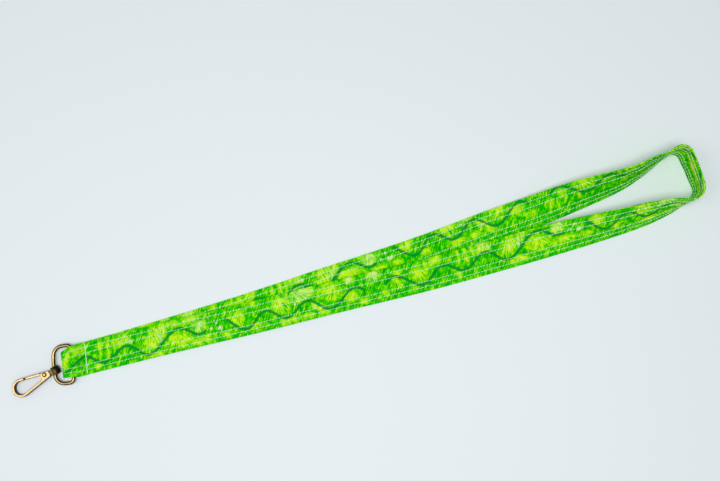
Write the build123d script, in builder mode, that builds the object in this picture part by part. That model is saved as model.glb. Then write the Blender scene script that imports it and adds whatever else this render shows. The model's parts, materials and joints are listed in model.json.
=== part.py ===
"""Fabric neck lanyard with a D-ring and a swivel snap hook, lying flat on a table.

Frame: millimetres, +X from the snap hook to the neck end of the loop, +Z up, with the
origin on the table under the middle of the whole object.
"""

import os
from math import acos, asin, atan2, cos, degrees, hypot, pi, radians, sin, tan

from build123d import *

# ---- Strap: one strip of cotton folded in four over interfacing, closed into a loop ----
strap_width = 25.4
strap_thickness = 1.6
leg_length = 513.0           # from the fold round the ring to the outside of the neck end
interfacing_thickness = 0.4
interfacing_inset = 1.2      # from each edge of the strap
leg_gap = 0.6                # between the two legs where one lies on the other
table_gap = 0.2              # the strap lies on its own stitches

# ---- Stitching ----
thread_width = 0.5
thread_proud = 0.15          # how far a row stands out of each face
row_insets = (4.0, 8.5, 17.8, 21.6)  # each row from the edge that is uppermost at the neck
cross_thread_width = 0.8
cross_stitch_from_bar = 10.6

# ---- D-ring: a round wire bent to a straight bar, two shoulders and a flat nose ----
ring_wire = 2.8
ring_inside_length = strap_width + 1.3
ring_depth = 14.8            # bar to nose, wire centre to wire centre
ring_corner_radius = 3.6
ring_shoulder_radius = 7.5
ring_nose_radius = 55.0
ring_side_rake = 1.3         # how far the nose's middle stands out past its shoulders
ring_turn = -8.0             # degrees in plan, as it lies in the fold
pocket_clearance = 0.7       # over the ring's wire, so that its corners can turn
pocket_reach = 6.8           # from the bar to the outside of the fold
pocket_corner_radius = 2.0
fold_taper = 2.2             # the fold is pinched in by this much at each corner

# ---- Swivel eye ----
eye_radius = 4.0
eye_wall = 1.45
eye_width = 6.0
eye_rim_radius = 3.25        # of the eye's two side rims, which are rounded away
eye_rim = 0.4
eye_rest_gap = 0.55          # between the wire and the hook's side of the eye
stud_radius = 1.1
stud_shoulder_radius = 1.9
stud_head_radius = 1.6
stud_head_length = 0.8

# ---- Hook body: a cast teardrop with a block at its narrow end ----
hook_turn = 11.6             # degrees in plan, as it lies
hook_thickness = 4.6
hook_wall = 1.9
hook_end_radius = 7.2
hook_length = 32.8           # block's outer face to the tip
block_half_width = 2.2
block_length = 7.5
hook_edge_radius = 0.45
swivel_gap = 0.2             # between the eye and the block
stud_fit = 0.06
stud_wall = 1.2              # the block's end wall that holds the stud
pocket_height = 3.0          # the slot in the block for the gate's root
slot_overrun = 0.7           # of that slot, past the block's face and into the hook's eye
nose_reach = 5.0             # nose's end, past the centre of the round end
lap_length = 1.6             # of the nose over the gate's tip

# ---- Gate, rivet and spring ----
pivot_from_block_end = 4.0
pivot_offset = 0.8
gate_thickness = 1.8
gate_height = 4.2
gate_root_height = 1.4
gate_root_radius = 1.5
root_lap = 1.0               # of the root, into the gate's bar
gate_end_gap = 0.3
gate_fit = 0.15
gate_edge_radius = 0.25
rivet_radius = 0.8
rivet_head_radius = 1.25
rivet_crown_radius = 0.85    # of the head's flat top
rivet_head_height = 0.45
rivet_fit = 0.05
spring_wire = 0.3
spring_turns = 3
spring_pitch = 0.34
spring_radius = 1.2
spring_seat = 0.05           # between the spring and the gate's root

# ---- Where the lying object's pieces are ----
tip_reach = 41.8             # hook's tip to the fold, along X
fold_x = tip_reach - (tip_reach + leg_length) / 2
neck_x = fold_x + leg_length
bar_x = fold_x + pocket_reach
bar_y = -5.9
legs_x = bar_x + cross_stitch_from_bar + 5.5
stitch_level_x = bar_x + cross_stitch_from_bar - 2.0
hardware_z = eye_radius
lower_z = table_gap
upper_z = lower_z + strap_thickness + leg_gap

# Each leg as it lies: its lower edge's place and how far the strap is rolled on its edge.
# The straight run is by share of the run from the fold, the twist by distance from the neck.
start_south_y = -17.45
front_straight = ((0.2, -19.3), (0.4, -21.5), (0.6, -23.9), (0.8, -25.9))
front_twist = (
    (150.0, -26.6, 3), (115.0, -26.0, 15), (85.0, -24.9, 32), (57.0, -23.5, 45),
    (38.0, -21.7, 56), (21.5, -18.7, 70), (9.5, -14.4, 90),
)
back_straight = ((0.2, -16.7), (0.4, -14.9), (0.6, -11.9), (0.8, -8.4))
back_twist = (
    (156.0, -3.5, 2), (120.0, -0.9, 12), (85.0, 3.9, 34), (57.0, 8.3, 53),
    (40.0, 13.2, 66), (22.0, 20.6, 80), (15.5, 23.7, 90),
)
straight_end = 205.0         # the straight run's last station is this far from the neck
south_corner = (-0.6, -11.6)
north_corner = (4.9, 27.2)
south_corner_radius = 9.0
north_corner_radius = 6.0


def leg_route(straight, twist, corner, low_z):
    """Stations (x, y, z, heading, roll) of a leg's lower edge, from the fold to the neck."""
    run = neck_x - straight_end - legs_x
    flat = [(legs_x, start_south_y, 0)]
    flat += [(legs_x + share * run, y, 0) for share, y in straight]
    points = flat + [(neck_x - back, y, roll) for back, y, roll in twist]
    stations = []
    ahead = points[1:] + [(neck_x - corner[0], corner[1], 90)]
    for i, (x, y, roll) in enumerate(points):
        before = (x, y, roll) if roll == 90 else points[max(i - 1, 0)]
        heading = degrees(atan2(ahead[i][1] - before[1], ahead[i][0] - before[0]))
        lift = (low_z - table_gap) * max(0.0, 1 - roll / 32)
        stations.append((x, y, table_gap + lift, heading if roll > 3 else 0.0, roll))
    return stations


def band_plane(station, thickness):
    """Plane square to the band's run, with its origin at the middle of the band."""
    x, y, z, heading, roll = station
    run = Vector(cos(radians(heading)), sin(radians(heading)), 0)
    level = Vector(-sin(radians(heading)), cos(radians(heading)), 0)
    across = level * cos(radians(roll)) + Vector(0, 0, sin(radians(roll)))
    edge = Vector(x, y, z + thickness / 2 * cos(radians(roll)))
    return Plane(origin=edge + across * (strap_width / 2), x_dir=across, z_dir=run)


def leg_sections(route, width, thickness, across=0):
    """The band's section at each station, shifted sideways by across."""
    sections = []
    for station in route:
        with BuildSketch(band_plane(station, strap_thickness)) as section:
            with Locations((across, 0)):
                Rectangle(width, thickness)
        sections.append(section.sketch)
    return sections


def neck_plan(z, thickness):
    """The neck end's plan at height z, between the ends of the two legs."""
    with BuildSketch(Plane.XY.offset(z)) as plan:
        with BuildLine():
            FilletPolyline(
                front_route[-1][:2],
                (neck_x - south_corner[0], south_corner[1]),
                (neck_x - north_corner[0], north_corner[1]),
                back_route[-1][:2],
                radius=[south_corner_radius, north_corner_radius],
            )
        trace(line_width=thickness)
    return plan.sketch


def fold_side(across, thickness):
    """Side view of the fold: lower layer, turn, hump over the ring, upper layer."""
    lower = lower_z + strap_thickness / 2
    upper = upper_z + strap_thickness / 2
    top = hardware_z + ring_wire / 2 + pocket_clearance + strap_thickness / 2
    left = fold_x + strap_thickness / 2
    turn = (top - lower) / 2 - 0.01
    hump_end = bar_x + ring_wire / 2 + strap_width / 2 * sin(radians(-ring_turn)) + 0.5
    middle = start_south_y + strap_width / 2 + across
    with BuildSketch(Plane(origin=(0, middle, 0), x_dir=(1, 0, 0), z_dir=(0, -1, 0))) as side:
        with BuildLine():
            FilletPolyline(
                (legs_x, lower),
                (left, lower),
                (left, top),
                (hump_end, top),
                (stitch_level_x, upper),
                (legs_x, upper),
                radius=[turn, turn, 2.5, 2.5],
            )
        trace(line_width=thickness)
    return side.sketch


def fold_plan(inset):
    """Plan of the fold, pinched in towards its corners."""
    south = start_south_y + inset
    north = start_south_y + strap_width - inset
    with BuildSketch() as plan:
        with BuildLine():
            FilletPolyline(
                (legs_x, south),
                (fold_x - 1, south + fold_taper),
                (fold_x - 1, north - fold_taper),
                (legs_x, north),
                radius=pocket_corner_radius,
            )
            Line((legs_x, south), (legs_x, north))
        make_face()
    return plan.sketch


front_route = leg_route(front_straight, front_twist, south_corner, upper_z)
back_route = leg_route(back_straight, back_twist, north_corner, lower_z)
core_width = strap_width - 2 * interfacing_inset
core_gap = 0.01              # the casing's pocket over the interfacing, each side
pocket_width = core_width + 2 * core_gap
pocket_thickness = interfacing_thickness + 2 * core_gap


# ---- Interfacing: the stiffener inside the folded cotton, in four runs ----
with BuildPart() as interfacing_front_leg:
    loft(leg_sections(front_route, core_width, interfacing_thickness), ruled=True)

with BuildPart() as interfacing_back_leg:
    loft(leg_sections(back_route, core_width, interfacing_thickness), ruled=True)

with BuildPart() as interfacing_neck:
    extrude(neck_plan(table_gap + interfacing_inset, interfacing_thickness), amount=core_width)

with BuildPart() as interfacing_fold:
    extrude(fold_side(0, interfacing_thickness), amount=strap_width, both=True)
    extrude(fold_plan(interfacing_inset), amount=4 * hardware_z, mode=Mode.INTERSECT)


# ---- Strap casing: the printed cotton, a flat tube round the interfacing ----
with BuildPart() as strap_front_leg:
    loft(leg_sections(front_route, strap_width, strap_thickness), ruled=True)
    loft(
        leg_sections(front_route, pocket_width, pocket_thickness),
        ruled=True,
        mode=Mode.SUBTRACT,
    )

with BuildPart() as strap_back_leg:
    loft(leg_sections(back_route, strap_width, strap_thickness), ruled=True)
    loft(
        leg_sections(back_route, pocket_width, pocket_thickness),
        ruled=True,
        mode=Mode.SUBTRACT,
    )

with BuildPart() as strap_neck_end:
    extrude(neck_plan(table_gap, strap_thickness), amount=strap_width)
    pocket_z = table_gap + interfacing_inset - core_gap
    extrude(neck_plan(pocket_z, pocket_thickness), amount=pocket_width, mode=Mode.SUBTRACT)

with BuildPart() as strap_ring_fold:
    extrude(fold_side(0, strap_thickness), amount=strap_width, both=True)
    extrude(fold_plan(0), amount=4 * hardware_z, mode=Mode.INTERSECT)
    add(interfacing_fold.part, mode=Mode.SUBTRACT)


# ---- Topstitching: four rows right round the strap, through all its layers ----
row_height = strap_thickness + 2 * thread_proud
topstitch_rows = []
for row_number, inset in enumerate(row_insets, 1):
    row_across = strap_width / 2 - inset
    row_z = table_gap + strap_width / 2 + row_across - thread_width / 2
    with BuildPart() as topstitch_row:
        loft(leg_sections(front_route, thread_width, row_height, row_across), ruled=True)
        loft(leg_sections(back_route, thread_width, row_height, row_across), ruled=True)
        extrude(fold_side(row_across, row_height), amount=thread_width / 2, both=True)
        extrude(neck_plan(row_z, row_height), amount=thread_width)
    topstitch_row.part.label = f"topstitch_row_{row_number}"
    topstitch_rows.append(topstitch_row.part)


# ---- Cross stitch: heavy thread through both legs, beside the ring and along its bar ----
with BuildPart() as cross_stitch:
    stitch_z = lower_z - thread_proud
    with BuildSketch(Plane(origin=(bar_x, bar_y, stitch_z)).rotated((0, 0, ring_turn))):
        with Locations((cross_stitch_from_bar, 0)):
            Rectangle(cross_thread_width, 2 * strap_width)
    extrude(amount=upper_z - lower_z + strap_thickness + 2 * thread_proud)
    extrude(fold_plan(0), amount=4 * hardware_z, mode=Mode.INTERSECT)


# ---- D-ring ----
ring_plane = Plane(origin=(bar_x, bar_y, hardware_z)).rotated((0, 0, ring_turn))
ring_half_length = (ring_inside_length + ring_wire) / 2
nose_half_angle = atan2(ring_side_rake, ring_half_length)
nose_point = ring_depth + ring_nose_radius * (1 / cos(nose_half_angle) - 1)
nose_run = ring_nose_radius * tan(nose_half_angle)
side_run = nose_point - ring_side_rake - ring_corner_radius
shoulder_room = side_run / tan((pi / 2 - nose_half_angle) / 2)
shoulder_radius = min(ring_shoulder_radius, 0.98 * shoulder_room)

with BuildPart() as d_ring:
    with BuildLine(ring_plane) as half_line:
        side = FilletPolyline(
            (0, 0),
            (0, ring_half_length),
            (-(nose_point - ring_side_rake), ring_half_length),
            (-nose_point + nose_run * sin(nose_half_angle), nose_run * cos(nose_half_angle)),
            radius=[ring_corner_radius, shoulder_radius],
        )
        TangentArc(side @ 1, (-ring_depth, 0), tangent=side % 1)
    with BuildSketch(Plane(origin=half_line.line @ 0, z_dir=half_line.line % 0)):
        Circle(ring_wire / 2)
    sweep()
    mirror(about=Plane(origin=ring_plane.origin, z_dir=ring_plane.y_dir))


# ---- Swivel eye: it hangs on the ring's nose, and its stud runs into the block ----
eye_hole_radius = eye_radius - eye_wall
eye_offset = eye_hole_radius - ring_wire / 2 - eye_rest_gap
eye_seat_y = -3.9            # where the eye sits along the nose, from the ring's middle
nose_sag = ring_nose_radius - (ring_nose_radius**2 - eye_seat_y**2) ** 0.5
wire_point = ring_plane.from_local_coords((-ring_depth + nose_sag, eye_seat_y, 0))
block_end = -(eye_radius + swivel_gap)
tip_drop = eye_radius - hook_thickness / 2
hook_tilt = asin(tip_drop / (hook_length - block_end))
hook_run = Vector(cos(radians(hook_turn)), sin(radians(hook_turn)), 0)
hook_axis = hook_run * cos(hook_tilt) + Vector(0, 0, sin(hook_tilt))
hook_up = Vector(0, 0, cos(hook_tilt)) - hook_run * sin(hook_tilt)
eye_centre = Vector(*wire_point) + hook_axis * eye_offset
hook_plane = Plane(origin=eye_centre, x_dir=hook_axis, z_dir=hook_up)
stud_head_start = block_end - stud_wall - stud_fit

with BuildPart() as swivel_eye:
    with BuildSketch(hook_plane):
        with BuildLine():
            inner = eye_rim_radius - eye_rim / 2
            outer = eye_rim_radius + eye_rim / 2
            half = eye_width / 2
            ThreePointArc((inner, -half), (eye_hole_radius, 0), (inner, half))
            ThreePointArc((outer, -half), (eye_radius, 0), (outer, half))
            Line((inner, half), (outer, half))
            Line((inner, -half), (outer, -half))
        make_face()
    revolve(axis=Axis(eye_centre, hook_plane.y_dir))
    with BuildSketch(hook_plane):
        with BuildLine():
            Polyline(
                (-eye_radius + eye_wall / 2, 0),
                (-eye_radius + eye_wall / 2, stud_shoulder_radius),
                (-eye_radius, stud_shoulder_radius),
                (-eye_radius, stud_radius),
                (stud_head_start, stud_radius),
                (stud_head_start, stud_head_radius),
                (stud_head_start - stud_head_length, stud_head_radius * 0.8),
                (stud_head_start - stud_head_length, 0),
                close=True,
            )
        make_face()
    revolve(axis=Axis(eye_centre, hook_axis))


# ---- Hook body ----
arc_centre = block_end - hook_length + hook_end_radius
taper_run = block_end - arc_centre
tangent_angle = atan2(block_half_width, taper_run) + acos(
    hook_end_radius / hypot(block_half_width, taper_run)
)
block_face = block_end - block_length
pivot_x = block_end - pivot_from_block_end
nose_end = arc_centre + nose_reach


def teardrop(radius, end_x):
    """Round end with its two tangent sides, cut off square at end_x."""
    top_x = arc_centre + radius * cos(tangent_angle)
    top_y = radius * sin(tangent_angle)
    end_y = top_y - (end_x - top_x) / tan(tangent_angle)
    with BuildSketch(hook_plane.offset(-hook_thickness / 2)) as outline:
        with BuildLine():
            ThreePointArc((top_x, top_y), (arc_centre - radius, 0), (top_x, -top_y))
            Polyline((top_x, -top_y), (end_x, -end_y), (end_x, end_y), (top_x, top_y))
        make_face()
    return outline.sketch


def side_plane(height):
    """Plane at a height over the hook's middle, with X along the gate's side."""
    level = Plane(
        origin=hook_plane.from_local_coords((arc_centre, 0, height)),
        x_dir=hook_axis,
        z_dir=hook_up,
    )
    return level.rotated((0, 0, degrees(tangent_angle) - 90))


low_face = -hook_thickness / 2
side_scale = 1 / sin(tangent_angle)
side_start = (nose_end - arc_centre) * side_scale - hook_end_radius * cos(tangent_angle)
side_stop = (block_face - arc_centre) * side_scale - hook_end_radius * cos(tangent_angle)
side_mid = hook_end_radius - hook_wall / 2

with BuildPart() as hook_body:
    extrude(teardrop(hook_end_radius, block_end), amount=hook_thickness)
    opening = teardrop(hook_end_radius - hook_wall, block_face)
    extrude(opening, amount=hook_thickness, mode=Mode.SUBTRACT)
    levels = hook_body.faces().sort_by(Axis(eye_centre, hook_up))
    fillet(levels[0].edges() + levels[-1].edges(), radius=hook_edge_radius)
    # Room for the gate, with the nose left as a lip over its tip.
    with BuildSketch(side_plane(low_face)):
        with Locations(((side_start + side_stop) / 2, hook_end_radius)):
            Rectangle(side_stop - side_start, 2 * hook_wall + 2 * gate_fit)
    extrude(amount=hook_thickness, mode=Mode.SUBTRACT)
    with BuildSketch(side_plane(low_face)):
        with Locations((side_start, side_mid - hook_wall / 2)):
            Rectangle(2 * lap_length, hook_wall)
    extrude(amount=hook_thickness, mode=Mode.SUBTRACT)
    # Slot for the gate's root and spring, bore for the stud, pocket for its head.
    slot_start = block_face - slot_overrun
    slot_stop = pivot_x + gate_root_radius + gate_fit
    with BuildSketch(hook_plane.offset(-pocket_height / 2)):
        with Locations(((slot_start + slot_stop) / 2, block_half_width)):
            Rectangle(slot_stop - slot_start, 3 * block_half_width)
    extrude(amount=pocket_height, mode=Mode.SUBTRACT)
    with BuildSketch(Plane(origin=eye_centre + hook_axis * block_end, z_dir=hook_axis * -1)):
        Circle(stud_radius + stud_fit)
    extrude(amount=stud_wall, mode=Mode.SUBTRACT)
    head_face = eye_centre + hook_axis * (block_end - stud_wall)
    with BuildSketch(Plane(origin=head_face, z_dir=hook_axis * -1)):
        Circle(stud_head_radius + stud_fit)
    extrude(amount=stud_head_length + 2 * stud_fit, mode=Mode.SUBTRACT)
    with BuildSketch(hook_plane.offset(-hook_thickness)):
        with Locations((pivot_x, pivot_offset)):
            Circle(rivet_radius)
    extrude(amount=2 * hook_thickness, mode=Mode.SUBTRACT)


# ---- Gate: a straight bar with a thin root that turns on the rivet ----
gate_start = side_start + gate_fit
gate_stop = side_stop - gate_end_gap
root_z = -pocket_height / 2 + gate_fit
bar_middle = hook_end_radius - gate_thickness / 2
root_end = side_plane(0).from_local_coords((gate_stop - root_lap, bar_middle, 0))
root_point = hook_plane.to_local_coords(root_end)
pivot = hook_plane.from_local_coords((pivot_x, pivot_offset, 0))
root_length = hypot(root_point.X - pivot_x, root_point.Y - pivot_offset)
root_turn = degrees(atan2(root_point.Y - pivot_offset, root_point.X - pivot_x))

with BuildPart() as gate:
    with BuildSketch(side_plane(-gate_height / 2)):
        with Locations(((gate_start + gate_stop) / 2, bar_middle)):
            Rectangle(gate_stop - gate_start, gate_thickness)
    extrude(amount=gate_height)
    levels = gate.faces().sort_by(Axis(eye_centre, hook_up))
    fillet(levels[0].edges() + levels[-1].edges(), radius=gate_edge_radius)
    # The tip is halved so that it rests behind the nose's lip.
    with BuildSketch(side_plane(-gate_height / 2)):
        with Locations((gate_start, hook_end_radius)):
            Rectangle(2 * lap_length + 2 * gate_fit, gate_thickness + 2 * gate_fit)
    extrude(amount=gate_height, mode=Mode.SUBTRACT)
    with BuildSketch(hook_plane.offset(root_z)):
        with Locations((pivot_x, pivot_offset)):
            Circle(gate_root_radius)
            with Locations(Location((0, 0, 0), (0, 0, root_turn))):
                with Locations((root_length / 2, 0)):
                    Rectangle(root_length, gate_thickness)
    extrude(amount=gate_root_height)
    with BuildSketch(hook_plane.offset(root_z)):
        with Locations((pivot_x, pivot_offset)):
            Circle(rivet_radius + rivet_fit)
    extrude(amount=gate_root_height, mode=Mode.SUBTRACT)

with BuildPart() as gate_rivet:
    rivet_end = hook_thickness / 2
    rivet_top = rivet_end + rivet_head_height
    with BuildSketch(Plane(origin=pivot, x_dir=hook_axis, z_dir=hook_plane.y_dir * -1)):
        with BuildLine():
            Polyline(
                (0, -rivet_top),
                (rivet_crown_radius, -rivet_top),
                (rivet_head_radius, -rivet_end),
                (rivet_radius, -rivet_end),
                (rivet_radius, rivet_end),
                (rivet_head_radius, rivet_end),
                (rivet_crown_radius, rivet_top),
                (0, rivet_top),
                close=True,
            )
        make_face()
    revolve(axis=Axis(pivot, hook_up))

with BuildPart() as gate_spring:
    spring_z = root_z + gate_root_height + spring_seat + spring_wire / 2
    with BuildLine(Plane(origin=pivot, x_dir=hook_axis, z_dir=hook_up).offset(spring_z)) as coil:
        Helix(pitch=spring_pitch, height=spring_pitch * spring_turns, radius=spring_radius)
    with BuildSketch(Plane(origin=coil.line @ 0, z_dir=coil.line % 0)):
        Circle(spring_wire / 2)
    sweep(is_frenet=True)


parts = {
    "interfacing_front_leg": interfacing_front_leg,
    "interfacing_back_leg": interfacing_back_leg,
    "interfacing_neck": interfacing_neck,
    "interfacing_fold": interfacing_fold,
    "strap_front_leg": strap_front_leg,
    "strap_back_leg": strap_back_leg,
    "strap_neck_end": strap_neck_end,
    "strap_ring_fold": strap_ring_fold,
    "cross_stitch": cross_stitch,
    "d_ring": d_ring,
    "swivel_eye": swivel_eye,
    "hook_body": hook_body,
    "gate": gate,
    "gate_rivet": gate_rivet,
    "gate_spring": gate_spring,
}
os.makedirs("parts", exist_ok=True)
for name, piece in parts.items():
    piece.part.label = name
    export_step(piece.part, f"parts/{name}.step")
for row in topstitch_rows:
    export_step(row, f"parts/{row.label}.step")
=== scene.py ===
"""Looks of a printed-cotton neck lanyard that lies on a table, with its D-ring and snap hook.

Everything is in metres in the model's own frame: +X from the hook to the neck end, +Z up.
"""

import json

import bmesh
import bpy
import numpy as np
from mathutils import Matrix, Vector


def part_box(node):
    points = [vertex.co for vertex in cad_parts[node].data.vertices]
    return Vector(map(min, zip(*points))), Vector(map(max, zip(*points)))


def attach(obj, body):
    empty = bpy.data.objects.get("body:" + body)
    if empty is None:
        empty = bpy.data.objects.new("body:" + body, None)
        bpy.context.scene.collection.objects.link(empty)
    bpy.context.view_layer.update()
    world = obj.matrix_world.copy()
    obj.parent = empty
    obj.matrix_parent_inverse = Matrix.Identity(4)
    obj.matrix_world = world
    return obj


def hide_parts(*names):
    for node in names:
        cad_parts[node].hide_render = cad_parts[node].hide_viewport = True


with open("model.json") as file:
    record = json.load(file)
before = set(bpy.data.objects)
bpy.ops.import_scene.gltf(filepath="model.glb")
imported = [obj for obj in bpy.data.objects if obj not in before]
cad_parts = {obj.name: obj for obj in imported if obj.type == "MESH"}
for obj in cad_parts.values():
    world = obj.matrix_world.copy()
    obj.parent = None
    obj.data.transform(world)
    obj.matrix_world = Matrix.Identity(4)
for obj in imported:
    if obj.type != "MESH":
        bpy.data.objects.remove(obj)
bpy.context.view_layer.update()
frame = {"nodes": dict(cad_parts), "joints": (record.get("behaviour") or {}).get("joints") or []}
MM = 0.001


# ---- The table, the light and the camera ----
# A pale matt table top, lit by two broad soft lights and a dim room, and seen from
# almost straight above, a little south of the strap.
view = bpy.data.cameras.new("camera")
view.sensor_width = 36.0
view.lens = 42.8
view.clip_start = 0.01
camera = bpy.data.objects.new("camera", view)
camera.location = (0.0204, -0.0317, 0.6750)
camera.rotation_euler = np.radians((4.629, 1.771, -15.598))
bpy.context.collection.objects.link(camera)
bpy.context.scene.camera = camera
bpy.context.scene.view_settings.view_transform = "Standard"


def plug(tree, socket, value):
    """Sets a socket to a value, or links another node's output to it."""
    if isinstance(value, bpy.types.NodeSocket):
        tree.links.new(value, socket)
    else:
        socket.default_value = value


def finish_of(name, **sockets):
    """A new material, with its shader's sockets set by name, and its node tree."""
    made = bpy.data.materials.new(name)
    made.use_nodes = True
    tree = made.node_tree
    shader = tree.nodes["Principled BSDF"]
    for socket, value in sockets.items():
        plug(tree, shader.inputs[socket.replace("_", " ")], value)
    return made, tree, shader


def mesh_piece(name, points, faces, surface):
    """A smooth-shaded object at the origin from arrays of points and of faces' corners."""
    mesh = bpy.data.meshes.new(name)
    mesh.from_pydata(points.tolist(), [], faces)
    mesh.polygons.foreach_set("use_smooth", np.ones(len(mesh.polygons), bool))
    mesh.materials.append(surface)
    piece = bpy.data.objects.new(name, mesh)
    bpy.context.collection.objects.link(piece)
    return piece


table_finish, _, _ = finish_of("table", Base_Color=(0.775, 0.825, 0.850, 1), Roughness=0.6)
reach = 3.0
corners = reach * np.array([(-1, -1, 0), (1, -1, 0), (1, 1, 0), (-1, 1, 0)])
mesh_piece("table", corners, [(0, 1, 2, 3)], table_finish)

room = bpy.data.worlds.new("room")
room.use_nodes = True
room.node_tree.nodes["Background"].inputs["Color"].default_value = (0.90, 0.95, 1.0, 1)
room.node_tree.nodes["Background"].inputs["Strength"].default_value = 0.28
bpy.context.scene.world = room

# Name, place, side in metres, power in watts.
for name, place, side, power in (
    ("overhead_light", (-0.02, -0.18, 1.70), 0.8, 19.2),
    ("west_light", (-0.95, 0.10, 1.45), 0.8, 4.5),
):
    lamp = bpy.data.lights.new(name, "AREA")
    lamp.size = side
    lamp.energy = power
    light = bpy.data.objects.new(name, lamp)
    light.location = place
    light.rotation_euler = (-Vector(place)).to_track_quat("-Z", "Y").to_euler()
    bpy.context.collection.objects.link(light)


# ---- The strap's route ----
# The strap is one closed band. It runs from under the cross stitch round the D-ring's bar,
# along the front leg, round the neck end on its edge, and back along the back leg.
strap_width = 25.4 * MM
strap_thickness = 1.6 * MM
lay_gap = 0.2 * MM
step = 1.25 * MM
joints = {joint["name"]: joint for joint in frame["joints"]}
bar = Vector(joints["ring_swing"]["pos_m"])
fold_low, fold_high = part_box("strap_ring_fold")
neck_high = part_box("strap_neck_end")[1]
cross_x = bar.x + 11.3 * MM
fold_slant = 0.135
fold_overhang = 1.2 * MM
hump_rise = 0.8 * MM
neck_lean = 5.6

# Lower edge of each leg: distance back from the neck end's outer face, y and height in
# millimetres, and the roll on that edge in degrees.
front_edge = (
    (491.8, -17.45, 2.15, 0.0), (427.0, -19.25, 2.15, 0.0), (358.6, -22.05, 2.00, 0.6),
    (289.5, -23.95, 1.10, 3.6), (221.0, -26.30, 0.30, 5.6), (162.4, -26.60, 0.20, 5.4),
    (117.0, -26.10, 0.20, 16.0), (86.0, -25.20, 0.20, 33.0), (58.0, -23.80, 0.20, 46.0),
    (39.0, -21.90, 0.20, 55.0), (21.5, -18.40, 0.20, 70.0), (9.5, -14.40, 0.20, 90.0),
)
back_edge = (
    (491.8, -17.45, 0.20, 0.0), (427.0, -16.65, 0.20, 0.0), (358.6, -14.95, 0.20, 0.0),
    (299.0, -12.05, 0.20, 0.0), (221.0, -8.55, 0.20, 0.0), (162.4, -3.60, 0.20, 1.5),
    (122.0, -0.90, 0.20, 12.0), (86.7, 3.60, 0.20, 34.0), (58.7, 8.10, 0.20, 53.0),
    (41.7, 12.90, 0.20, 66.0), (23.7, 20.40, 0.20, 78.0), (17.2, 23.70, 0.20, 86.8),
)


def through(stations, at):
    """Values at the places at, on cubics through rows of (place, value, ...), places rising.

    Each cubic's end slope is that of the line between the stations on its two sides.
    """
    rows = np.array(stations, float)
    x, v = rows[:, 0], rows[:, 1:]
    slope = np.gradient(v, axis=0) / np.gradient(x)[:, None]
    i = np.clip(np.searchsorted(x, at) - 1, 0, len(x) - 2)
    gap = (x[i + 1] - x[i])[:, None]
    t = (at[:, None] - x[i][:, None]) / gap
    return (
        (2 * t**3 - 3 * t**2 + 1) * v[i]
        + (t**3 - 2 * t**2 + t) * gap * slope[i]
        + (3 * t**2 - 2 * t**3) * v[i + 1]
        + (t**3 - t**2) * gap * slope[i + 1]
    )


def rounded(points, radii):
    """A flat run of straight lines with an arc of the given radius in place of each corner."""
    points = np.array(points, float)
    run = [points[0]]
    for before, corner, after, radius in zip(points, points[1:], points[2:], radii):
        a = (before - corner) / np.linalg.norm(before - corner)
        b = (after - corner) / np.linalg.norm(after - corner)
        half = np.arccos(np.clip(a @ b, -1, 1)) / 2
        middle = corner + (a + b) / np.linalg.norm(a + b) * radius / np.sin(half)
        start = corner + a * radius / np.tan(half) - middle
        stop = corner + b * radius / np.tan(half) - middle
        for share in np.linspace(0, 1, 13):
            chord = start * (1 - share) + stop * share
            run.append(middle + chord * radius / np.linalg.norm(chord))
    return np.array(run + [points[-1]])


def slant(x):
    """How far the band's crosswise lines lean along X, fading out past the cross stitch."""
    fade = np.clip((x - cross_x) / (45 * MM), 0, 1)
    return fold_slant * (1 - fade) ** 2 * (1 + 2 * fade)


def leg(edge):
    """Middles and crosswise vectors of a leg, from the fold to the neck end."""
    back = np.arange(edge[0][0], edge[-1][0], -1.0)
    y, height, roll = through(edge[::-1], back).T
    x = neck_high.x - back * MM
    heading = np.arctan2(np.gradient(y * MM), np.gradient(x))
    roll = np.radians(np.clip(roll, 0, 90))
    level = np.cos(roll)
    across = np.stack([-np.sin(heading) * level, np.cos(heading) * level, np.sin(roll)], 1)
    edge_line = np.stack([x, y * MM, height * MM + strap_thickness / 2 * level], 1)
    middle = edge_line + across * strap_width / 2
    across[:, 0] += slant(x) * level
    return middle, across


def on_edge(points, radii):
    """Middles and crosswise vectors of a stretch that stands on its edge, from its plan.

    Its top leans outwards, more and more from the first corner to the second.
    """
    plan = rounded(points, radii)
    lean = np.radians(neck_lean) * np.clip((plan[:, 1] + 8 * MM) / (28 * MM), 0, 1)
    heading = np.gradient(plan, axis=0)
    heading /= np.linalg.norm(heading, axis=1)[:, None]
    sideways = np.sin(lean)[:, None] * np.stack([heading[:, 1], -heading[:, 0]], 1)
    across = np.column_stack([sideways, np.cos(lean)])
    floor = np.column_stack([plan, np.full(len(plan), lay_gap)])
    return floor + across * strap_width / 2, across


def fold():
    """Middles and crosswise vectors from the back leg round the ring's bar to the front leg."""
    low = lay_gap + strap_thickness / 2
    high = fold_high.z - strap_thickness / 2 + hump_rise
    level = front_edge[0][2] * MM + strap_thickness / 2
    left = fold_low.x - fold_overhang + strap_thickness / 2
    turn = (high - low) / 2 * 0.999
    side = rounded(
        (
            (fold_high.x, low), (left, low), (left, high),
            (bar.x + 3.7 * MM, high), (cross_x - 1.5 * MM, level), (fold_high.x, level),
        ),
        (turn, turn, 2.5 * MM, 2.5 * MM),
    )
    middle_y = front_edge[0][1] * MM + strap_width / 2
    middle = np.column_stack([side[:, 0], np.full(len(side), middle_y), side[:, 1]])
    across = np.column_stack([slant(side[:, 0]), np.ones(len(side)), np.zeros(len(side))])
    return middle, across


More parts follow.
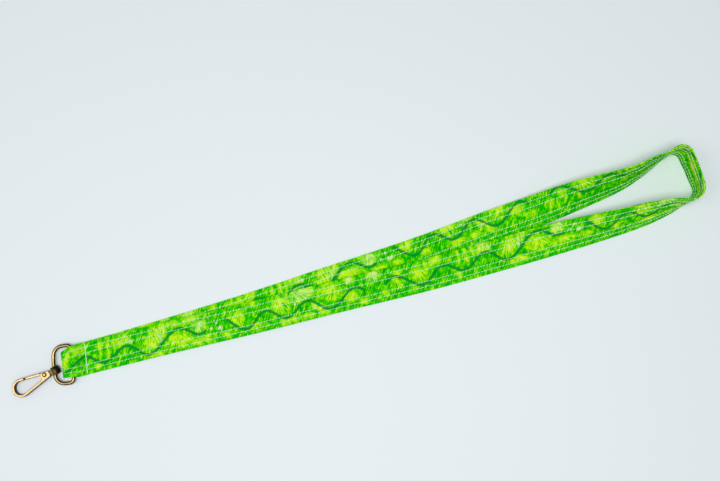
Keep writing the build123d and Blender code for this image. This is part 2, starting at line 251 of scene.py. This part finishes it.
def smoothed(rows, spread):
    """A closed run of rows, each averaged with its neighbours by a bell curve spread rows wide."""
    far = int(4 * spread)
    weight = np.exp(-0.5 * (np.arange(-far, far + 1) / spread) ** 2)
    wrapped = np.concatenate([rows[-far:], rows, rows[:far]])
    columns = [np.convolve(column, weight / weight.sum(), "valid") for column in wrapped.T]
    return np.stack(columns, 1)


def evenly(rows, spacing):
    """A closed run of rows resampled at even steps of the way along its first three columns."""
    closed = np.concatenate([rows, rows[:1]])
    way = np.concatenate([[0], np.cumsum(np.linalg.norm(np.diff(closed[:, :3], axis=0), axis=1))])
    count = int(round(way[-1] / spacing))
    at = np.arange(count) * way[-1] / count
    return np.stack([np.interp(at, way, column) for column in closed.T], 1), way[-1]


south_corner = (neck_high.x + 0.8 * MM, -11.6 * MM)
north_corner = (neck_high.x - 3.6 * MM, 26.8 * MM)
south_corner_radius = 9 * MM
north_corner_radius = 6 * MM
front = leg(front_edge)
back = leg(back_edge)
neck = on_edge(
    (front[0][-1][:2], south_corner, north_corner, back[0][-1][:2]),
    (south_corner_radius, north_corner_radius),
)
runs = (fold(), front, neck, (back[0][::-1], back[1][::-1]))
route = np.concatenate([np.hstack([middle[:-1], across[:-1]]) for middle, across in runs])
route, _ = evenly(route, step / 3)
route, strap_length = evenly(smoothed(route, 2.4), step)
rows_along = len(route)
middles, crosswise = route[:, :3], route[:, 3:]
headings = np.roll(middles, -1, 0) - np.roll(middles, 1, 0)
headings /= np.linalg.norm(headings, axis=1)[:, None]
outward = np.cross(headings, crosswise)
outward /= np.linalg.norm(outward, axis=1)[:, None]
way_along = np.arange(rows_along) * strap_length / rows_along
fold_end = middles[:, 0].min()


def drawn_in(reach, depth, power):
    """Share of the half width left near the fold, which is cut by a power of the nearness."""
    near = np.clip((fold_end + reach - middles[:, 0]) / reach, 0, 1)
    return 1 - depth / (strap_width / 2) * near**power


upper_share = drawn_in(12.0 * MM, 3.4 * MM, 1.6)
lower_share = drawn_in(12.0 * MM, 2.2 * MM, 0.5)


def on_strap(way, across, out):
    """Points at a way along the band, across it from its middle, and out of its middle layer.

    The band's middle line plus its crosswise vector times across plus its normal times out,
    each read between the two nearest rows of the route.
    """
    table = np.column_stack([middles, crosswise, outward, upper_share, lower_share])
    closed = np.concatenate([table, table[:1]])
    place = np.asarray(way) / strap_length % 1 * rows_along
    row = np.floor(place).astype(int) % rows_along
    share = (place - np.floor(place))[..., None]
    read = closed[row] * (1 - share) + closed[row + 1] * share
    across = across * np.where(across > 0, read[..., 9], read[..., 10])
    return read[..., :3] + read[..., 3:6] * across[..., None] + read[..., 6:9] * out[..., None]


def band(name, profile, surface, ripple=0.0):
    """A closed band: profile's (across, out) points carried along the strap's whole route.

    ripple is how far the faces rise and fall along the strap, as two slow waves.
    """
    across, out = np.array(profile).T
    wave = np.sin(way_along / (5.3 * MM))[:, None] * np.sin(across / (3.1 * MM) + 1)
    wave = wave + np.sin(way_along / (2.9 * MM) + 2)[:, None] * np.cos(across / (4.7 * MM))
    grid = np.broadcast_to(across, wave.shape)
    points = on_strap(way_along[:, None], grid, out + np.sign(out) * ripple * wave)
    i, c = np.meshgrid(np.arange(rows_along), np.arange(len(profile)), indexing="ij")
    i_next, c_next = (i + 1) % rows_along, (c + 1) % len(profile)
    wide = len(profile)
    faces = np.stack([i * wide + c, i * wide + c_next, i_next * wide + c_next, i_next * wide + c], -1)
    return mesh_piece(name, points.reshape(-1, 3), faces.reshape(-1, 4).tolist(), surface)


# ---- Interfacing ----
# A stiff white woven strip, sealed inside the folded cotton, that keeps the strap flat.
interfacing_inset = 1.2 * MM
interfacing_thickness = 0.4 * MM
interfacing_finish, _, _ = finish_of("interfacing", Base_Color=(0.86, 0.86, 0.82, 1), Roughness=0.9)
half_wide = strap_width / 2 - interfacing_inset
half_thick = interfacing_thickness / 2
interfacing = band(
    "interfacing",
    (
        (half_wide, half_thick), (-half_wide, half_thick),
        (-half_wide, -half_thick), (half_wide, -half_thick),
    ),
    interfacing_finish,
)
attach(interfacing, "strap")
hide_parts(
    "interfacing_front_leg", "interfacing_back_leg", "interfacing_neck", "interfacing_fold"
)


# ---- Printed cotton casing ----
# Green hand-printed cotton with its long edges turned in, pressed and topstitched. Each long
# edge is two folded layers that meet in a fine groove.
row_insets = np.array((4.0, 8.5, 17.8, 21.6)) * MM
layer = strap_thickness / 2


def casing_profile():
    """The casing's section, from its upper edge over the outer face, and back by the inner.

    The faces lie layer from the middle, less a narrow dip at each row of stitches and plus a
    slight swell between the rows. Each edge is two half-round folds.
    """
    flat = np.linspace(strap_width / 2 - layer / 2, layer / 2 - strap_width / 2, 27)
    beside = np.concatenate([strap_width / 2 - row_insets + shift * MM for shift in (-0.35, 0, 0.35)])
    across = np.sort(np.concatenate([flat, beside]))[::-1]
    inset = strap_width / 2 - across
    dips = sum(np.exp(-(((inset - row) / (0.4 * MM)) ** 2)) for row in row_insets)
    swell = np.cos((inset - row_insets[1]) / (row_insets[1] - row_insets[0]) * np.pi) * 0.05 * MM
    face = layer - 0.17 * MM * dips - swell * (dips < 0.3)
    turns = np.radians((60, 25, -10, -45))
    fold_x = strap_width / 2 - layer / 2 + layer / 2 * np.cos(turns)
    fold_out = layer / 2 + layer / 2 * np.sin(turns)
    groove = strap_width / 2 - 0.45 * MM
    upper = [(groove, 0.0)] + list(zip(fold_x[::-1], fold_out[::-1]))
    outer = upper + list(zip(across, face)) + [(-x, out) for x, out in upper[:0:-1]]
    inner = [(-groove, 0.0)] + [(x, -out) for x, out in outer[:0:-1]]
    return outer + inner, len(outer)


# The print: one repeat along the cotton. A wavy vine swings between these extremes, at
# (way along, distance from the strap's upper edge) in millimetres.
repeat = 291.0
print_start = -238.3 * MM
vine_turns = (
    (16.4, 7.8), (32.3, 16.0), (48.5, 7.0), (68.5, 21.0), (86.0, 10.8), (101.5, 20.2),
    (119.5, 11.4), (136.8, 22.2), (158.5, 10.7), (173.4, 19.1), (190.2, 9.8), (211.2, 21.5),
    (229.8, 11.2), (245.0, 19.2), (264.5, 11.0), (280.0, 22.0),
)
vine_spacing = 24.5
vine_half_width = 1.0
# Stretches where the vine is hidden by leaves.
vine_gaps = ((38.0, 52.0), (167.0, 181.0))
# Yellow-green leaves and brush marks: way along, distance from the upper edge, half length,
# half height, lean in degrees, and how pale the leaf's veins are.
leaves = (
    (3.4, 5.0, 3.0, 6.5, 0, 0.5), (14.6, 16.8, 9.5, 5.5, 12, 0.2), (12.3, 3.3, 5.5, 2.6, 0, 0.5),
    (26.8, 2.7, 7.0, 3.0, -8, 0.6), (31.8, 10.4, 5.0, 4.6, -30, 0.9), (36.8, 20.5, 6.5, 3.0, 0, 0.2),
    (27.0, 21.5, 5.0, 2.6, 20, 0.1), (62.9, 11.0, 5.2, 5.6, 10, 0.3), (53.0, 21.0, 4.2, 2.6, 0, 0.1),
    (75.7, 2.2, 4.4, 2.2, 0, 0.2), (98.4, 8.9, 7.5, 7.0, -35, 0.4), (116.8, 5.2, 9.5, 4.8, -12, 1.0),
    (126.8, 17.2, 5.6, 3.2, 30, 0.5), (102.3, 23.2, 6.6, 2.6, 0, 0.2), (116.8, 23.0, 5.2, 2.2, 0, 0.2),
    (139.0, 8.2, 7.5, 6.8, 25, 0.3), (131.0, 23.4, 4.2, 1.8, 0, 0.1), (154.6, 3.8, 3.2, 3.2, -20, 0.9),
    (153.4, 16.4, 5.5, 4.2, 15, 0.2), (174.0, 5.2, 5.8, 4.4, -30, 0.9), (191.8, 14.2, 3.0, 4.6, 0, 0.1),
    (193.4, 7.8, 2.8, 3.2, 10, 0.1), (204.0, 22.0, 1.3, 2.8, 0, 0.1), (210.0, 12.6, 6.5, 5.2, 12, 0.1),
    (224.6, 5.8, 5.2, 3.4, -15, 0.2), (216.0, 8.0, 2.2, 4.4, 0, 0.1), (240.0, 21.2, 2.4, 2.4, 0, 0.1),
    (242.6, 7.4, 1.4, 6.8, 0, 0.1), (249.2, 8.4, 1.5, 7.0, 0, 0.1), (254.6, 6.8, 1.3, 5.0, 0, 0.1),
    (262.0, 5.8, 5.2, 5.4, 0, 0.5), (284.8, 12.0, 5.4, 10.5, 35, 0.4), (287.9, 24.2, 8.0, 2.6, 0, 0.2),
    (164.0, 22.8, 4.0, 2.2, 0, 0.1), (181.0, 20.5, 2.2, 3.4, 10, 0.1), (76.0, 20.4, 3.6, 3.4, 10, 0.1),
)
# White flecks and dots left bare of dye: way along, distance from the edge, half length,
# half height.
flecks = (
    (0.6, 12.0, 0.8, 3.4), (33.6, 7.6, 2.4, 0.7), (41.2, 13.8, 1.1, 0.9), (48.4, 15.2, 2.0, 1.4),
    (45.7, 10.3, 1.0, 0.8), (40.1, 5.0, 0.8, 0.8), (124.2, 18.3, 1.0, 0.9), (110.0, 11.5, 1.8, 0.6),
    (155.4, 3.2, 0.9, 1.8), (175.2, 3.6, 1.9, 0.8), (267.8, 8.2, 1.0, 1.6), (119.0, 4.6, 2.2, 0.7),
)
# How far each face's cut wanders off the print's line, in millimetres across at ways along.
outer_wander = ((0, 0), (97, 0), (330, -2.5), (404, -6.0), (520, -6.5))
inner_wander = ((200, -4.5), (255, -5.2), (289, -7.9), (360, -8.6), (433, -10.0))


def print_fields(way, inset):
    """Leaf, paleness and vine, each 0 to 1, and brush place, at ways and insets in millimetres.

    A leaf is a bell curve over its turned ellipse, and the strongest one counts. Its brush
    strokes fan out from its root, so their place is the angle there; elsewhere they lean
    across the strap. The vine falls off beside a cosine wave through its turns.
    """
    along = way % repeat
    leaf = np.zeros_like(along)
    pale = np.zeros_like(along)
    brush = way * 0.9 + inset * 0.55
    for number, (u, v, long, high, lean, vein) in enumerate(leaves):
        du = (along - u + repeat / 2) % repeat - repeat / 2
        dv = inset - v
        c, s = np.cos(np.radians(lean)), np.sin(np.radians(lean))
        inside = ((du * c + dv * s) / long) ** 2 + ((dv * c - du * s) / high) ** 2
        body = np.exp(-(inside**1.5) * 0.7)
        root = np.arctan2(dv + high * 1.2, du + long * (number % 3 - 1) * 0.7)
        brush = np.where((body > 0.35) & (body > leaf), root * 9.0 + number * 31.0, brush)
        leaf = np.maximum(leaf, body)
        pale = np.maximum(pale, body * vein * 0.5)
    for u, v, long, high in flecks:
        du = (along - u + repeat / 2) % repeat - repeat / 2
        pale = np.maximum(pale, 1.8 * np.exp(-((du / long) ** 2) - ((inset - v) / high) ** 2))
    turns = np.array(vine_turns)
    ends = np.concatenate([turns[-1:] - (repeat, 0), turns, turns[:1] + (repeat, 0)])
    i = np.clip(np.searchsorted(ends[:, 0], along) - 1, 0, len(ends) - 2)
    share = (along - ends[i, 0]) / (ends[i + 1, 0] - ends[i, 0])
    swing = (1 - np.cos(np.pi * share)) / 2
    line = ends[i, 1] * (1 - swing) + ends[i + 1, 1] * swing
    steepest = (ends[i + 1, 1] - ends[i, 1]) / (ends[i + 1, 0] - ends[i, 0]) * np.pi / 2
    slope = steepest * np.sin(np.pi * share)
    off = (inset - line + vine_spacing / 2) % vine_spacing - vine_spacing / 2
    near = np.abs(off) / np.sqrt(1 + slope**2)
    vine = np.clip(1 - near / (2 * vine_half_width), 0, 1)
    for start, stop in vine_gaps:
        vine = vine * np.clip(np.maximum(start - along, along - stop) / 2, 0, 1)
    return np.stack([leaf, pale, vine, brush], -1)


def print_finish():
    """The dyed cotton: leaf, paleness and vine fields broken up by brush streaks and weave."""
    made, tree, shader = finish_of("cotton_print", Roughness=0.9, Specular_IOR_Level=0.03)

    def add(kind, **sockets):
        node = tree.nodes.new("ShaderNode" + kind)
        for socket, value in sockets.items():
            plug(tree, node.inputs[socket], value)
        return node

    def maths(operation, *values):
        node = tree.nodes.new("ShaderNodeMath")
        node.operation = operation
        for socket, value in zip(node.inputs, values):
            plug(tree, socket, value)
        return node.outputs[0]

    def noise(vector, along, across, detail):
        stretched = add("Mapping", Vector=vector, Scale=(along, across, 1))
        return add("TexNoise", Vector=stretched.outputs[0], Scale=1.0, Detail=detail).outputs[0]

    def ramp(factor, stops):
        node = add("ValToRGB", Fac=factor)
        bands = node.color_ramp.elements
        for spot, (place, colour) in enumerate(stops):
            element = bands[spot] if spot < 2 else bands.new(place)
            element.position = place
            element.color = (*colour, 1)
        return node.outputs[0]

    def blend(factor, first, second):
        node = tree.nodes.new("ShaderNodeMix")
        node.data_type = "RGBA"
        plug(tree, node.inputs[0], factor)
        plug(tree, node.inputs[6], first)
        plug(tree, node.inputs[7], second)
        return node.outputs[2]

    place = add("UVMap")
    place.uv_map = "cloth"
    cloth = place.outputs[0]
    fields = add("Attribute")
    fields.attribute_name = "print"
    field = add("SeparateColor", Color=fields.outputs[0]).outputs
    spot = add("SeparateXYZ", Vector=cloth).outputs
    brush = maths("MULTIPLY", fields.outputs["Alpha"], 1.5)
    drawn_out = [maths("MULTIPLY", spot[axis], 0.16) for axis in (0, 1)]
    strokes = add("CombineXYZ", X=brush, Y=drawn_out[0], Z=drawn_out[1])
    streaks = add("TexNoise", Vector=strokes.outputs[0], Scale=1.0, Detail=3.0).outputs[0]
    dabs = noise(cloth, 0.30, 0.26, 4.0)
    specks = noise(cloth, 1.3, 1.1, 3.0)
    tone = maths("MULTIPLY_ADD", maths("SUBTRACT", streaks, 0.5), 2.3, maths("MULTIPLY", field[0], 0.50))
    tone = maths("MULTIPLY_ADD", maths("SUBTRACT", dabs, 0.5), 1.5, maths("ADD", tone, 0.29))
    tone = maths("MULTIPLY_ADD", maths("SUBTRACT", specks, 0.5), 0.55, tone)
    dye = ramp(
        tone,
        (
            (0.08, (0.0005, 0.40, 0.0005)),
            (0.28, (0.010, 0.60, 0.0005)),
            (0.45, (0.055, 0.68, 0.001)),
            (0.54, (0.210, 0.75, 0.001)),
            (0.76, (0.440, 0.86, 0.002)),
            (1.00, (0.620, 0.93, 0.030)),
        ),
    )
    vein = maths("MULTIPLY", field[1], maths("MULTIPLY_ADD", streaks, 5.0, -1.7))
    vein = maths("MINIMUM", maths("MAXIMUM", maths("SUBTRACT", vein, 0.12), 0.0), 0.9)
    dye = blend(vein, dye, (0.72, 0.88, 0.42, 1))
    frayed = maths("MULTIPLY_ADD", maths("SUBTRACT", noise(cloth, 1.2, 1.2, 2.0), 0.5), 0.40, field[2])
    vine = ramp(frayed, ((0.40, (0, 0, 0)), (0.50, (1, 1, 1))))
    vine_dye = blend(specks, (0.000, 0.15, 0.016, 1), (0.001, 0.42, 0.030, 1))
    dye = blend(maths("MULTIPLY", vine, 0.92), dye, vine_dye)
    warp = add("Mapping", Vector=cloth, Scale=(2.6, 2.6, 1)).outputs[0]
    threads = add("SeparateXYZ", Vector=warp).outputs
    ribs = maths("SINE", maths("MULTIPLY", threads[0], 6.283))
    picks = maths("SINE", maths("MULTIPLY", threads[1], 6.283))
    weave = maths("MULTIPLY", ribs, picks)
    shade = maths("MULTIPLY_ADD", weave, 0.05, 0.97)
    toned = add("Mix")
    toned.data_type = "RGBA"
    toned.blend_type = "MULTIPLY"
    plug(tree, toned.inputs[0], 1.0)
    plug(tree, toned.inputs[6], dye)
    grey = add("CombineColor", Red=shade, Green=shade, Blue=shade).outputs[0]
    plug(tree, toned.inputs[7], grey)
    plug(tree, shader.inputs["Base Color"], toned.outputs[2])
    bump = add("Bump", Strength=0.35, Distance=0.06 * MM, Height=weave)
    plug(tree, shader.inputs["Normal"], bump.outputs[0])
    return made


profile, outer_count = casing_profile()
cotton_finish = print_finish()
cotton = band("cotton_strap", profile, cotton_finish, ripple=0.05 * MM)


def lay_print(piece):
    """Gives each corner of the casing's faces its place on the cloth and its print fields.

    The outer face reads along the route and the inner one against it, so that each face
    reads from the hook to the neck where it lies uppermost.
    """
    front_zero = way_along[np.argmin(np.linalg.norm(middles - front[0][0], axis=1))]
    front_zero -= front[0][0][0] - print_start
    inner_row = np.argmin(np.linalg.norm(middles - back[0][-1], axis=1))
    inner_zero = way_along[inner_row] + back[0][-1][0] - print_start
    wide = len(profile)
    across = np.array(profile)[:, 0]
    corner_row = np.arange(rows_along)[:, None, None] + np.array((0, 0, 1, 1))
    corner_column = (np.arange(wide)[:, None] + np.array((0, 1, 1, 0))) % wide
    corner_row, corner_column = np.broadcast_arrays(corner_row, corner_column[None])
    way = corner_row * strap_length / rows_along
    inset = (strap_width / 2 - across[corner_column]) / MM
    inner_face = np.broadcast_to((np.arange(wide) >= outer_count)[None, :, None], way.shape)
    reading = np.where(inner_face, inner_zero - way, way - front_zero) / MM
    wander = np.where(
        inner_face,
        np.interp(reading, *np.array(inner_wander).T),
        np.interp(reading, *np.array(outer_wander).T),
    )
    origin = np.where(inner_face, 222.0, 81.0)
    fields = print_fields(reading - origin, inset - wander)
    cloth = np.stack([reading + 700 * inner_face, inset], -1)
    layer_of = piece.data.uv_layers.new(name="cloth")
    layer_of.data.foreach_set("uv", cloth.reshape(-1))
    colour = piece.data.attributes.new("print", "FLOAT_COLOR", "CORNER")
    colour.data.foreach_set("color", fields.reshape(-1))


lay_print(cotton)
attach(cotton, "strap")
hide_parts("strap_front_leg", "strap_back_leg", "strap_neck_end", "strap_ring_fold")


# ---- Topstitching ----
# White cotton thread in four rows right round the strap, sewn by machine through all its
# layers. Each stitch stands a little proud and dives into its needle holes.
pitch = 2.4 * MM
stitch_length = 2.1 * MM
thread_radius = 0.22 * MM


def thread_finish():
    """White two-ply thread: a fine twist along the stitch, and a slight green cast."""
    made, tree, shader = finish_of(
        "white_thread", Base_Color=(0.72, 0.86, 0.68, 1), Roughness=0.6, Sheen_Weight=0.1
    )
    where = tree.nodes.new("ShaderNodeTexCoord")
    twist = tree.nodes.new("ShaderNodeTexNoise")
    plug(tree, twist.inputs["Vector"], where.outputs["Object"])
    plug(tree, twist.inputs["Scale"], 5000.0)
    bump = tree.nodes.new("ShaderNodeBump")
    plug(tree, bump.inputs["Strength"], 0.4)
    plug(tree, bump.inputs["Distance"], 0.04 * MM)
    plug(tree, bump.inputs["Height"], twist.outputs[0])
    plug(tree, shader.inputs["Normal"], bump.outputs[0])
    return made


def stitches(name, ways, insets, lengths, crossing, radius, surface):
    """Stitches at ways along and insets across, on both faces, as short bowed capsules.

    Along a stitch the thread's middle rises as one minus the square of the share from its
    middle, and the ends close to a point below the cloth. crossing turns them crosswise.
    """
    shares = np.array((-1.0, -0.8, -0.35, 0.35, 0.8, 1.0))
    girth = np.array((0.0, 0.8, 1.0, 1.0, 0.8, 0.0))
    around = np.arange(6) * np.pi / 3
    face = np.array((1.0, -1.0))
    ways, insets, lengths, face = (
        np.repeat(ways, 2), np.repeat(insets, 2), np.repeat(lengths, 2), np.tile(face, len(ways)),
    )
    shift = shares[None, :] * lengths[:, None] / 2
    rise = layer + 0.30 * MM * (1 - shares**2) - 0.22 * MM
    side = np.cos(around)[None, None, :] * radius * girth[None, :, None]
    lift = np.sin(around)[None, None, :] * radius * girth[None, :, None]
    along = shift[:, :, None] + 0 * side
    out = (rise[None, :, None] + lift) * face[:, None, None]
    base = (strap_width / 2 - insets)[:, None, None]
    if crossing:
        points = on_strap(ways[:, None, None] + side, base + along, out)
    else:
        points = on_strap(ways[:, None, None] + along, base + side * face[:, None, None], out)
    count, rings, spokes = len(ways), len(shares), len(around)
    ring = np.arange(rings - 1)[:, None]
    spoke = np.arange(spokes)[None, :]
    quads = np.stack(
        [
            ring * spokes + spoke,
            ring * spokes + (spoke + 1) % spokes,
            (ring + 1) * spokes + (spoke + 1) % spokes,
            (ring + 1) * spokes + spoke,
        ],
        -1,
    ).reshape(-1, 4)
    faces = (np.arange(count)[:, None, None] * rings * spokes + quads).reshape(-1, 4)
    piece = mesh_piece(name, points.reshape(-1, 3), faces.tolist(), surface)
    tidy_shell(piece)
    return piece


def tidy_shell(piece):
    """Closes the pointed ends by merging their points, and turns every face outwards."""
    shell = bmesh.new()
    shell.from_mesh(piece.data)
    bmesh.ops.remove_doubles(shell, verts=shell.verts, dist=0.002 * MM)
    bmesh.ops.recalc_face_normals(shell, faces=shell.faces)
    shell.to_mesh(piece.data)
    shell.free()


white_thread = thread_finish()
rng = np.random.default_rng(7)
stitch_count = int(round(strap_length / pitch))
for number, inset in enumerate(row_insets, 1):
    ways = (np.arange(stitch_count) + rng.uniform(-0.06, 0.06, stitch_count)) * strap_length / stitch_count
    drift = inset + rng.normal(0, 0.05 * MM, stitch_count) + 0.15 * MM * np.sin(ways / (38 * MM) + number)
    lengths = stitch_length * rng.uniform(0.92, 1.05, stitch_count)
    row = stitches(f"topstitching_{number}", ways, drift, lengths, False, thread_radius, white_thread)
    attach(row, "strap")
    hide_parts(f"topstitch_row_{number}")


# ---- Cross stitch ----
# A heavier white thread, sewn to and fro through both legs beside the ring, to hold it in.
cross_radius = 0.30 * MM
cross_pitch = 2.3 * MM
front_rows = np.flatnonzero((outward[:, 2] > 0.9) & (middles[:, 2] > 2 * MM))
cross_way = way_along[front_rows[np.argmin(np.abs(middles[front_rows, 0] - cross_x))]]
back_rows = np.flatnonzero((outward[:, 2] < -0.9) & (middles[:, 0] < cross_x + 5 * MM))
under_way = way_along[back_rows[np.argmin(np.abs(middles[back_rows, 0] - cross_x))]]
cross_count = int((strap_width - 1.2 * MM) / cross_pitch)
cross_insets = 1.0 * MM + (np.arange(2 * cross_count) / 2 + 0.4) * cross_pitch
cross_ways = np.concatenate([np.full(2 * cross_count, cross_way), np.full(2 * cross_count, under_way)])
cross_ways += np.tile((-0.12 * MM, 0.12 * MM), 2 * cross_count)
cross = stitches(
    "cross_stitching",
    cross_ways,
    np.tile(cross_insets, 2),
    np.full(4 * cross_count, cross_pitch * 0.98),
    True,
    cross_radius,
    white_thread,
)
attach(cross, "strap")
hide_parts("cross_stitch")


# ---- Antique brass hardware: D-ring, swivel eye, hook body, gate and rivet ----
# Steel wire and die castings, plated in brass, blackened, and rubbed bright again on the
# faces and edges that stand out. Faces turned up are also painted lighter, as a painted
# highlight of the light overhead. They keep their own shapes.
hook_up = Vector(joints["gate_open"]["axis"])
hook_along = Vector(joints["hook_swivel"]["axis"])
hook_aside = hook_up.cross(hook_along)
eye_middle = Vector(joints["hook_swivel"]["pos_m"])
rivet_head = Vector(joints["gate_open"]["pos_m"]) + hook_up * 2.8 * MM
gate_root_seam = rivet_head - hook_along * 2.6 * MM + hook_aside * 2.8 * MM
gate_tip_seam = rivet_head - hook_along * 15.9 * MM + hook_aside * 4.3 * MM


def brass_finish(name, up, wear_and_highlight, collar_highlight=False):
    """Antique brass, lighter where it faces up as wear plus a painted highlight, and black in its corners.

    The black also stays in the gate's two seams and round the rivet's head. When the collar highlight is
    asked for, the end next to the hook's block gets a painted highlight, and the rest of the piece is
    painted darker, as a painted dark reflection.
    """
    made, tree, shader = finish_of(name, Metallic=1.0)

    def maths(operation, *values):
        node = tree.nodes.new("ShaderNodeMath")
        node.operation = operation
        for socket, value in zip(node.inputs, values):
            plug(tree, socket, value)
        return node.outputs[0]

    def vectors(operation, first, second):
        node = tree.nodes.new("ShaderNodeVectorMath")
        node.operation = operation
        plug(tree, node.inputs[0], first)
        plug(tree, node.inputs[1], second)
        return node.outputs

    def noise(scale, detail):
        stretched = tree.nodes.new("ShaderNodeMapping")
        plug(tree, stretched.inputs["Vector"], place)
        plug(tree, stretched.inputs["Scale"], scale)
        grain = tree.nodes.new("ShaderNodeTexNoise")
        plug(tree, grain.inputs["Vector"], stretched.outputs[0])
        plug(tree, grain.inputs["Scale"], 1.0)
        plug(tree, grain.inputs["Detail"], detail)
        return maths("SUBTRACT", grain.outputs[0], 0.5)

    where = tree.nodes.new("ShaderNodeTexCoord")
    place = where.outputs["Object"]
    facing = vectors("DOT_PRODUCT", where.outputs["Normal"], up)["Value"]
    hidden = tree.nodes.new("ShaderNodeAmbientOcclusion")
    hidden.inputs["Distance"].default_value = 2.5 * MM
    hidden.samples = 8
    grain = noise((700, 2600, 1500), 3.0)
    # Faces turned up are lighter: partly worn bright, partly a painted highlight of the light overhead.
    bright = maths("MULTIPLY", maths("POWER", maths("ABSOLUTE", facing), 3.0), wear_and_highlight)
    bright = maths("MULTIPLY_ADD", grain, 0.45, bright)
    bright = maths("MULTIPLY_ADD", noise((320, 320, 320), 2.0), 0.4, bright)
    bright = maths("MULTIPLY", bright, maths("POWER", hidden.outputs["AO"], 1.3))
    for seam in (gate_root_seam, gate_tip_seam):
        clear = maths("DIVIDE", vectors("DISTANCE", place, seam)["Value"], 1.5 * MM)
        clear = maths("MINIMUM", maths("MAXIMUM", maths("MULTIPLY_ADD", clear, 2.0, -0.9), 0.0), 1.0)
        bright = maths("MULTIPLY", bright, clear)
    round_head = maths("SUBTRACT", vectors("DISTANCE", place, rivet_head)["Value"], 1.6 * MM)
    clear = maths("MINIMUM", maths("DIVIDE", maths("ABSOLUTE", round_head), 0.75 * MM), 1.0)
    bright = maths("MULTIPLY", bright, maths("MULTIPLY_ADD", clear, 0.8, 0.2))
    # Painted highlight on the eye's end next to the block; the rest is painted darker, as a painted dark
    # reflection.
    if collar_highlight:
        from_middle = vectors("SUBTRACT", place, eye_middle)["Vector"]
        along = vectors("DOT_PRODUCT", from_middle, hook_along)["Value"]
        lit_collar_mask = maths("LESS_THAN", along, -1.0 * MM)
        bright = maths("MULTIPLY_ADD", lit_collar_mask, 0.85, maths("MULTIPLY", bright, 0.3))
    ramp = tree.nodes.new("ShaderNodeValToRGB")
    stops = (
        (0.00, (0.018, 0.012, 0.007)),
        (0.30, (0.12, 0.075, 0.035)),
        (0.65, (0.50, 0.33, 0.14)),
        (1.00, (0.78, 0.57, 0.28)),
    )
    for spot, (share, colour) in enumerate(stops):
        element = ramp.color_ramp.elements[spot] if spot < 2 else ramp.color_ramp.elements.new(share)
        element.position = share
        element.color = (*colour, 1)
    plug(tree, ramp.inputs["Fac"], bright)
    plug(tree, shader.inputs["Base Color"], ramp.outputs[0])
    plug(tree, shader.inputs["Roughness"], maths("MULTIPLY_ADD", grain, 0.2, 0.40))
    bump = tree.nodes.new("ShaderNodeBump")
    plug(tree, bump.inputs["Strength"], 0.15)
    plug(tree, bump.inputs["Distance"], 0.02 * MM)
    plug(tree, bump.inputs["Height"], grain)
    plug(tree, shader.inputs["Normal"], bump.outputs[0])
    return made


# The last number is how much lighter faces turned up are, as wear plus painted highlight.
ring_brass = brass_finish("brass_wire", (0.0, 0.0, 1.0), 0.66)
# The swivel eye also gets the painted highlight on its collar end and painted dark reflection elsewhere.
eye_brass = brass_finish("brass_eye", (0.0, 0.0, 1.0), 0.60, collar_highlight=True)
hook_brass = brass_finish("brass_casting", hook_up, 0.92)
spring_steel, _, _ = finish_of(
    "spring_steel", Base_Color=(0.55, 0.55, 0.56, 1), Metallic=1.0, Roughness=0.3
)
for node, surface in (
    ("d_ring", ring_brass),
    ("swivel_eye", eye_brass),
    ("hook_body", hook_brass),
    ("gate", hook_brass),
    ("gate_rivet", hook_brass),
    ("gate_spring", spring_steel),
):
    piece = frame["nodes"][node]
    piece.data.materials.clear()
    piece.data.materials.append(surface)
